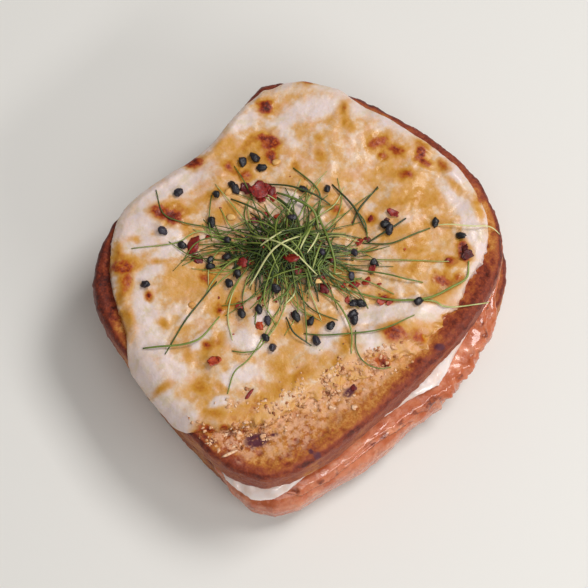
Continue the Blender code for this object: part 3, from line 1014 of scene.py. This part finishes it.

# Long shoots: (x, y) way points in millimetres from the middle of the slice, then half the
# blade's width, how light it is (partly painted light on the nest's top and painted shade in its
# depths), and how far up in the nest it lies.
LONG_SHOOTS = (
    (((-13, -20), (-11, -34), (-8, -46)), 0.27, 0.2, 0.6),
    (((-14, -49), (-11, -46), (-6, -40), (-4, -35), (-5, -27)), 0.315, 0.55, 0.5),
    (((-38, -30), (-30, -20), (-28, -13), (-20, -6)), 0.195, 0.7, 0.5),
    (((-46, -12), (-39, -16), (-33, -14), (-27, -10), (-18, -5)), 0.21, 0.35, 0.5),
    (((-33, -2), (-28, -8), (-23, -12)), 0.195, 0.4, 0.5),
    (((-28, 1), (-22, 3), (-17, 4), (-10, 2)), 0.315, 0.25, 0.6),
    (((-21, 2), (-17, 2), (-12, 0)), 0.27, 0.1, 0.5),
    (((-24, 12), (-18, 16), (-11, 19), (-6, 20)), 0.315, 0.15, 0.6),
    (((-20, 12), (-14, 14), (-8, 15), (-3, 12)), 0.4125, 0.5, 0.8),
    (((-19, 11), (-14, 11), (-10, 10), (-5, 7)), 0.4125, 0.25, 0.7),
    (((-22, 21), (-13, 21), (-9, 19), (-7, 15)), 0.27, 0.4, 0.6),
    (((-8, 18), (-6, 15), (0, 12), (7, 8), (10, 5)), 0.36, 0.5, 1.0),
    (((-5, 11), (-3, 7), (-1, 2)), 0.3375, 0.75, 0.9),
    (((-2, 11), (0, 7), (1, 3)), 0.255, 0.95, 1.0),
    (((-7, 12), (-4, 8), (-3, 3)), 0.375, 0.4, 0.8),
    (((1, 9), (3, 5), (5, 1)), 0.285, 0.65, 1.0),
    (((3, 11), (5, 7), (6, 2)), 0.3375, 0.35, 0.8),
    (((-4, 5), (-6, -5), (-5, -15)), 0.3, 0.95, 1.0),
    (((-9, 4), (-9, -1), (-10, -5)), 0.285, 0.9, 0.95),
    (((-14, -4), (-7, -2), (0, 0), (7, 1)), 0.27, 0.85, 1.05),
    (((-16, -7), (-9, -4), (-2, -6)), 0.255, 0.6, 0.9),
    (((-10, 25), (0, 24), (8, 21)), 0.33, 0.1, 0.5),
    (((0, 34), (1, 25), (3, 20)), 0.3, 0.12, 0.5),
    (((0, 24), (5, 23), (9, 20)), 0.225, 0.3, 0.5),
    (((13, 32), (12, 26), (10, 19)), 0.3, 0.12, 0.5),
    (((9, 18), (15, 23), (18, 30), (20, 35)), 0.255, 0.3, 0.4),
    (((20, 36), (23, 39), (29, 44), (32, 48), (35, 49)), 0.21, 1.0, 0.3),
    (((10, 12), (16, 17), (31, 31)), 0.195, 0.6, 0.4),
    (((8, 6), (19, 14), (26, 18), (30, 21)), 0.255, 0.45, 0.5),
    (((12, 2), (26, 10), (34, 18), (37, 26), (38, 31), (35, 35)), 0.33, 0.6, 0.4),
    (((30, 14), (36, 19), (40, 21), (47, 31)), 0.255, 0.75, 0.3),
    (((16, -14), (22, -9), (31, 2), (35, 12)), 0.24, 0.45, 0.3),
    (((10, -2), (17, -1), (25, -4), (30, -9)), 0.255, 0.6, 0.5),
    (((26, -3), (30, -7), (34, -8), (38, -6), (40, -3)), 0.195, 0.45, 0.3),
    (((9, -14), (14, -16), (20, -15)), 0.255, 0.12, 0.4),
    (((3, -6), (4, -9), (3, -13)), 0.375, 0.45, 0.9),
    (((5, -6), (6, -8), (6, -12)), 0.27, 0.95, 0.9),
    (((5, -32), (8, -30), (10, -26), (8, -17)), 0.225, 0.5, 0.4),
    (((13, -42), (10, -36), (10, -29), (6, -14)), 0.21, 0.6, 0.4),
)


def heap(place):
    """The height of the nest over a place."""
    away = place.xy - nest_middle.xy
    along = away.x * math.cos(NEST_TURN) + away.y * math.sin(NEST_TURN)
    aside = away.y * math.cos(NEST_TURN) - away.x * math.sin(NEST_TURN)
    out = math.hypot(along, aside / NEST_SQUASH) / (NEST_HALF_LENGTH * MM)
    return NEST_HEIGHT * math.exp(-2 * out**2)


def curve_through(route, steps):
    """Even points on a Catmull-Rom curve through the route."""
    padded = [route[0] * 2 - route[1], *route, route[-1] * 2 - route[-2]]
    curve = []
    for step in range(steps + 1):
        place = step / steps * (len(route) - 1)
        i = min(int(place), len(route) - 2)
        t = place - i
        before, start, end, after = padded[i : i + 4]
        bend = 2 * before - 5 * start + 4 * end - after
        twist = 3 * start - before - 3 * end + after
        curve.append((2 * start + (end - before) * t + bend * t**2 + twist * t**3) / 2)
    return curve


def add_blade(shape, curve, widths, flatness):
    """Adds a closed blade along the curve: an oval tube, wider than it is thick."""
    rings = []
    for i, (point, width) in enumerate(zip(curve, widths)):
        along = (curve[min(i + 1, len(curve) - 1)] - curve[max(i - 1, 0)]).normalized()
        across = along.cross(Vector((0, 0, 1)))
        if across.length < 0.05:
            across = along.cross(Vector((0, 1, 0)))
        across.normalize()
        over = across.cross(along) * flatness
        ring = []
        for k in range(SHOOT_SIDES):
            turn = math.tau * k / SHOOT_SIDES
            out = across * math.cos(turn) + over * math.sin(turn)
            ring.append(shape.verts.new(point + width * out))
        rings.append(ring)
    for ring, following in zip(rings, rings[1:]):
        for k in range(SHOOT_SIDES):
            beside = (k + 1) % SHOOT_SIDES
            shape.faces.new((ring[k], ring[beside], following[beside], following[k]))
    shape.faces.new(rings[0][::-1])
    shape.faces.new(rings[-1])


def add_shoot(shape, tints, flat_route, width, tint, level, arch):
    """One shoot over the food, at a level in the nest, bowed up by arch between its ends."""
    curve = []
    for i, place in enumerate(curve_through(flat_route, SHOOT_STEPS)):
        ground = height_at(place.x, place.y)
        if ground is None:
            ground = curve[-1].z - width - 0.3 * MM if curve else nest_low.z
        bow = arch * math.sin(math.pi * i / SHOOT_STEPS)
        curve.append(Vector((place.x, place.y, ground + width + level * heap(place) + bow)))
    for _ in range(2):
        for i in range(1, len(curve) - 1):
            curve[i].z = (curve[i - 1].z + 2 * curve[i].z + curve[i + 1].z) / 4
    widths = []
    for i in range(SHOOT_STEPS + 1):
        taper = math.sin(math.pi * (0.12 + 0.8 * i / SHOOT_STEPS)) ** 0.6
        widths.append(width * (0.35 + 0.65 * taper))
        tints += [tint + 0.2 * (i / SHOOT_STEPS - 0.5)] * SHOOT_SIDES
    add_blade(shape, curve, widths, SHOOT_FLATNESS)


def wandering_route(start, heading, length, bend):
    """A route of three even strides that starts at a place and turns as it goes."""
    route = [start]
    for _ in range(3):
        route.append(route[-1] + Vector((math.cos(heading), math.sin(heading))) * length / 3)
        heading += bend + chance.gauss(0, 0.15)
    return route


def in_the_nest(spread):
    """A random place in the nest's oval, given the share of the oval to keep to."""
    turn = chance.uniform(0, math.tau)
    away = spread * chance.random() ** 0.65 * NEST_HALF_LENGTH * MM
    along, aside = away * math.cos(turn), away * math.sin(turn) * NEST_SQUASH
    x = along * math.cos(NEST_TURN) - aside * math.sin(NEST_TURN)
    y = along * math.sin(NEST_TURN) + aside * math.cos(NEST_TURN)
    return nest_middle.xy + Vector((x, y))


shoots = bmesh.new()
shoot_tints = []
for way_points, width, tint, level in LONG_SHOOTS:
    route = [Vector((x * MM + loaf_middle.x, y * MM + loaf_middle.y)) for x, y in way_points]
    arch = chance.uniform(0.3, 1.5) * MM
    add_shoot(shoots, shoot_tints, route, width * MM, tint, level, arch)
for i in range(CORE_SHOOTS):
    length = chance.uniform(7, 15) * MM
    heading = chance.uniform(0, math.tau)
    stride = Vector((math.cos(heading), math.sin(heading))) * length / 2
    route = wandering_route(in_the_nest(0.9) - stride, heading, length, chance.gauss(0, 0.4))
    level = chance.uniform(0.05, 0.95)
    # Painted shade and light: shoots low in the nest are darker, those near its top paler.
    tint = 0.5 * level**2 * chance.uniform(0.3, 1.6)
    width = chance.uniform(0.13, 0.3) * MM
    add_shoot(shoots, shoot_tints, route, width, tint, level, 0.5 * MM)
for i in range(STRAY_SHOOTS):
    start = in_the_nest(0.9)
    away = start - nest_middle.xy
    heading = math.atan2(away.y, away.x) + chance.gauss(0, 0.7)
    length = chance.uniform(12, 24) * MM
    route = wandering_route(start, heading, length, chance.gauss(0, 0.3))
    tint = chance.uniform(0.15, 0.8)
    width = chance.uniform(0.12, 0.22) * MM
    level = chance.uniform(0.3, 0.9)
    arch = chance.uniform(0.2, 1.2) * MM
    add_shoot(shoots, shoot_tints, route, width, tint, level, arch)
shoot_piece = finish_mesh("shoots", shoots, shoot_tints)


# Runs from painted shade, deep in the nest, through the stems' own greens to pale green.
STEM_GREENS_AND_SHADE = [
    (0.0, colour(30, 38, 10)), (0.25, colour(52, 68, 18)), (0.5, colour(90, 110, 38)),
    (0.75, colour(138, 152, 66)), (1.0, colour(214, 212, 152)),
]


def green_stems_and_shade():
    """Soft green stem, pale towards a root, with painted shade darkening it deep in the nest."""
    made, tree, shader = new_material("green stems and painted shade")
    streaks = use_group(tree, mottle, 2.5 * MM, 0.3, 0.7, 3.0)
    tint = plus(tree, mask(tree, "tint"), times(tree, streaks, 0.15))
    set_shader(
        tree,
        shader,
        {
            "Base Color": ramp(tree, tint, STEM_GREENS_AND_SHADE),
            "Roughness": plus(tree, 0.36, times(tree, streaks, 0.12)),
            "Subsurface Weight": 0.12,
            "Subsurface Scale": 0.6 * MM,
            "Subsurface Radius": (0.6, 1.0, 0.3),
            "Normal": use_group(tree, grain, 0.6 * MM, 0.08 * MM, 0.4),
        },
    )
    return made


dress(shoot_piece, green_stems_and_shade(), "shoot_nest")

# ------------------------------------------------------------
# The onion seeds: hard black husks, round with a blunt point, which came up on the shoots or
# fell off them. They lie on the cheese and in the nest.
# ------------------------------------------------------------
SEED_PLACES = (
    (-40.5, -8), (-35, -20), (-28, -19), (-27, -35), (-34, 12), (-32.5, 15.5), (-28.5, 14.5),
    (-31, 4.5), (-29, 4), (-32, -1), (-15, 18), (-10, 23), (-11, 9), (-20, -9), (-19, -16.5),
    (-17.5, -18), (-16, -12.5), (-10, -14.5), (-10, -18), (1, -10), (3, 7), (9.5, 14), (16, 15.5),
    (14, 8), (20, 2.5), (21.5, 4), (22, 0), (23.5, -1), (20, -7), (20, -13), (15, -10), (11, -12),
    (2, -18), (6, -18.5), (-1, -22), (9, -22.5), (12.5, -23), (33, 16), (20, 37), (28, 39.5),
    (10, 26.5), (12, 26), (-27, -8),
)


def on_the_food(x, y, thickness):
    """Where a small thing comes to rest: on the food, or up on the nest."""
    place = on_the_slice(x, y)
    place.z += 0.7 * thickness + chance.uniform(0.75, 1) * heap(place)
    return place


SEED_SIZE = Vector((1.6, 1.35, 1.1))  # half its length, width and thickness, in millimetres
seeds = bmesh.new()
seed_tints = []
for i, (x, y) in enumerate(SEED_PLACES):
    size = SEED_SIZE * chance.uniform(0.85, 1.1) * MM
    place = on_the_food(x, y, size.z)
    count = add_grain(seeds, size, place, any_turn(chance, 0.3), 0.3, i * 1.3, 3, 0.35)
    seed_tints += [chance.random()] * count
seed_piece = finish_mesh("onion_seeds", seeds, seed_tints)
HUSK = [(0.0, colour(18, 15, 18)), (0.6, colour(30, 26, 32)), (1.0, colour(52, 46, 60))]
dress(seed_piece, tinted("seed husk", HUSK, 0.8 * MM, 0.3), None)

# ------------------------------------------------------------
# The chilli: crushed dried chilli, in curled red scraps of skin and a few flat yellow seeds,
# sprinkled over the nest and the cheese.
# ------------------------------------------------------------
# Scraps: (x, y) in millimetres from the middle of the slice, half length, how bright a red.
CHILLI_PLACES = (
    (-26.5, 6.5, 2.5, 0.2), (-24, 8.5, 3.2, 0.45), (-21.5, 11, 2.5, 0.3), (-22.5, 7.5, 1.8, 0.45),
    (-20, 10, 1.7, 0.6), (-26, -16.5, 2.7, 0.45), (-22.5, -18.5, 2.5, 0.25), (-3, -20.5, 1.6, 0.5),
    (5, -21, 1.9, 0.85), (3.5, -38, 1.9, 0.8), (10.5, 0, 2.3, 0.2), (8, 2, 1.5, 0.4),
    (9, 30.5, 1.7, 0.5), (9.5, 27.5, 1.2, 0), (-11, -10.5, 2, 0.5), (-1, -1.5, 2.4, 0.5),
    (1.5, -2, 1.6, 0.3), (6, 8, 2, 0.1), (8, 17.5, 1.3, 0.6), (18, 10, 1.4, 0.65), (16, 7, 1.7, 0.5),
    (14.5, 4.5, 1.4, 0.7), (-15, 7, 1.5, 0.75), (-17, 5, 1.1, 0.6), (-18.5, 1, 1.4, 0.3),
    (25, 9, 1.6, 0.7), (27, 10, 1.1, 0.6), (33.5, 36, 2, 0.05), (31, 37.5, 1.7, 0), (0, -15, 1.1, 0.5),
    (16.5, 14, 1.6, 0.5), (10.5, -12, 1.3, 0.1), (-25, -12, 1, 0.6), (-28, -7, 1, 0.5),
    (30.5, 31, 0.9, 0.5), (9, 20, 1.1, 0.3), (-16.5, -13, 1.2, 0.1), (18, 2, 1, 0.6),
    (15, -10.5, 1.2, 0.1), (5.5, 25, 1, 0.4), (21, 12, 0.9, 0.8), (36.5, -15, 1.1, 0.2),
)
CHILLI_SEED_PLACES = ((8, 0), (-24, -3), (-27, 19), (-30, 2), (-13, -30))
CHILLI_DUST = 60

scraps = bmesh.new()
scrap_tints = []
for i in range(len(CHILLI_PLACES) + CHILLI_DUST):
    if i < len(CHILLI_PLACES):
        x, y, half, tint = CHILLI_PLACES[i]
    else:
        turn = chance.uniform(0, math.tau)
        away = abs(chance.gauss(0, 17))
        x, y = -4 + away * math.cos(turn), 2 + away * math.sin(turn)
        half, tint = chance.uniform(0.2, 0.5), chance.random()
    width = half * chance.uniform(0.55, 0.8)
    size = Vector((half, width, half * chance.uniform(0.12, 0.2))) * MM
    if on_the_slice(x, y) is None:
        continue
    place = on_the_food(x, y, size.z)
    turn = any_turn(chance, 0.35)
    detail = 3 if half > 1 else 2
    curl = chance.uniform(-0.5, 0.6)
    count = add_grain(scraps, size, place, turn, 0.55, 50 + i * 1.7, detail, curl=curl)
    scrap_tints += [tint] * count
sliver_size = Vector((2.2, 0.5, 0.3)) * MM
sliver_place = on_the_food(17.5, -38, 0.3 * MM)
sliver_turn = Euler((0, 0, math.radians(100))).to_matrix()
sliver_count = add_grain(scraps, sliver_size, sliver_place, sliver_turn, 0.3, 5)
scrap_tints += [0.4] * sliver_count
scrap_piece = finish_mesh("chilli_scraps", scraps, scrap_tints)
CHILLI_SKIN = [
    (0.0, colour(70, 18, 16)), (0.3, colour(112, 24, 26)), (0.6, colour(150, 34, 22)),
    (1.0, colour(190, 76, 28)),
]
dress(scrap_piece, tinted("chilli skin", CHILLI_SKIN, 0.8 * MM, 0.3), None)

chilli_seeds = bmesh.new()
chilli_seed_tints = []
for i, (x, y) in enumerate(CHILLI_SEED_PLACES):
    size = Vector((1.4, 1.15, 0.4)) * MM
    place = on_the_food(x, y, size.z)
    count = add_grain(chilli_seeds, size, place, any_turn(chance, 0.2), 0.2, 90 + i, 2, 0.3)
    chilli_seed_tints += [0.3 + 0.15 * i] * count
chilli_seed_piece = finish_mesh("chilli_seeds", chilli_seeds, chilli_seed_tints)
CHILLI_SEED_SKIN = [(0.0, colour(240, 206, 140)), (1.0, colour(214, 146, 66))]
dress(chilli_seed_piece, tinted("chilli seed skin", CHILLI_SEED_SKIN, 1 * MM, 0.35), None)

# ------------------------------------------------------------
# The table, lights and camera: a plain pale floor and soft light from overhead.
# ------------------------------------------------------------
CAMERA_AZIMUTH = math.radians(44)
CAMERA_ELEVATION = math.radians(70)
CAMERA_DISTANCE = 0.62
FRAME_WIDTH = 0.174  # how much of the table the camera takes in at the sandwich's distance

bpy.ops.mesh.primitive_plane_add(size=3)
floor = bpy.context.object
floor.name = "floor"
floor_paint, floor_tree, floor_shader = new_material("pale floor")
set_shader(floor_tree, floor_shader, {"Base Color": (0.8, 0.78, 0.74, 1), "Roughness": 0.7})
floor.data.materials.append(floor_paint)

target = Vector((loaf_middle.x + 1.5 * MM, loaf_middle.y - 3 * MM, 20 * MM))
back = Vector(
    (
        math.sin(CAMERA_AZIMUTH) * math.cos(CAMERA_ELEVATION),
        -math.cos(CAMERA_AZIMUTH) * math.cos(CAMERA_ELEVATION),
        math.sin(CAMERA_ELEVATION),
    )
)
camera_data = bpy.data.cameras.new("camera")
camera = bpy.data.objects.new("camera", camera_data)
bpy.context.scene.collection.objects.link(camera)
camera.location = target + back * CAMERA_DISTANCE
camera.rotation_euler = (math.pi / 2 - CAMERA_ELEVATION, 0, CAMERA_AZIMUTH)
camera_data.lens = camera_data.sensor_width * CAMERA_DISTANCE / FRAME_WIDTH
bpy.context.scene.camera = camera


def soft_light(name, place, size, power):
    """A rectangular light that faces the sandwich."""
    data = bpy.data.lights.new(name, "AREA")
    data.shape = "RECTANGLE"
    data.size, data.size_y = size
    data.energy = power
    light = bpy.data.objects.new(name, data)
    bpy.context.scene.collection.objects.link(light)
    light.location = place
    light.rotation_euler = (Vector(place) - target).to_track_quat("Z", "Y").to_euler()


soft_light("key", (0.15, 0.6, 0.95), (0.45, 0.35), 6.8)
soft_light("fill", (0.5, -0.3, 0.9), (0.6, 0.6), 2.3)
soft_light("glint", (0.66, 0.02, 0.42), (0.5, 0.08), 1.8)

world = bpy.data.worlds.new("room")
world.use_nodes = True
world.node_tree.nodes["Background"].inputs["Color"].default_value = (1, 0.98, 0.95, 1)
world.node_tree.nodes["Background"].inputs["Strength"].default_value = 0.24
bpy.context.scene.world = world
bpy.context.scene.view_settings.view_transform = "Standard"
